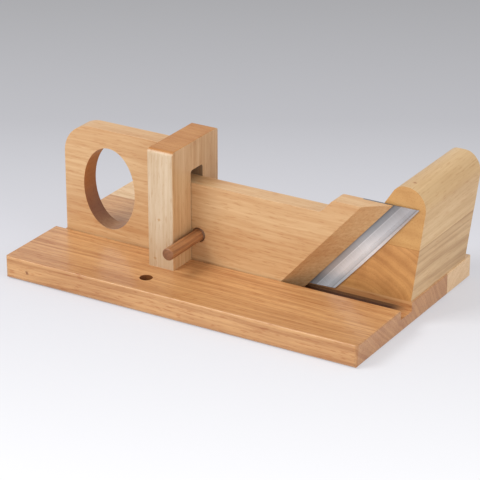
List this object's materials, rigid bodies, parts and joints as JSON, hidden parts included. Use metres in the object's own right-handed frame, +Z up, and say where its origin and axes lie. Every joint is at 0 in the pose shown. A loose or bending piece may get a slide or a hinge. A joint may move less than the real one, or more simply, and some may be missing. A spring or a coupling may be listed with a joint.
{
  "type": "meat slicer",
  "caption": "Wooden dried-meat slicer: an arm with a hand hole and slanted blade slides through a yoke past a sloped end block, locked by a dowel.",
  "frame": {"origin": "centre of the base's underside", "axes": "+X along the base towards the end block, +Y to the back, +Z up"},
  "size_m": [0.3907, 0.23, 0.141],
  "materials": {
    "base_wood": "oiled, orange-brown",
    "yoke_wood": "oiled, pale cream",
    "block_wood": "oiled, light orange-tan",
    "arm_wood": "oiled, light tan",
    "pin_wood": "plain, reddish brown",
    "blade_steel": "satin with ground bevels",
    "screw_steel": "zinc plated"
  },
  "bodies": {
    "base": {"base_front_board": "base_wood", "base_back_board": "base_wood", "yoke": "yoke_wood", "yoke_screws": "screw_steel", "block_lower": "block_wood", "block_upper": "block_wood", "block_screws": "screw_steel"},
    "slider": {"arm": "arm_wood", "blade": "blade_steel", "blade_screws": "screw_steel"},
    "lock_dowel": {"lock_pin": "pin_wood"}
  },
  "joints": [
    {"name": "arm_slide", "type": "slide", "parent": "base", "child": "slider", "axis": [-1, 0, 0], "range_m": [0, 0.147]},
    {"name": "lock_pin_pull", "type": "slide", "parent": "base", "child": "lock_dowel", "axis": [0, -1, 0], "range_m": [0, 0.147]}
  ],
  "couplings": [
    {"joint": "lock_pin_pull", "follows": "arm_slide", "ratio": 1}
  ]
}
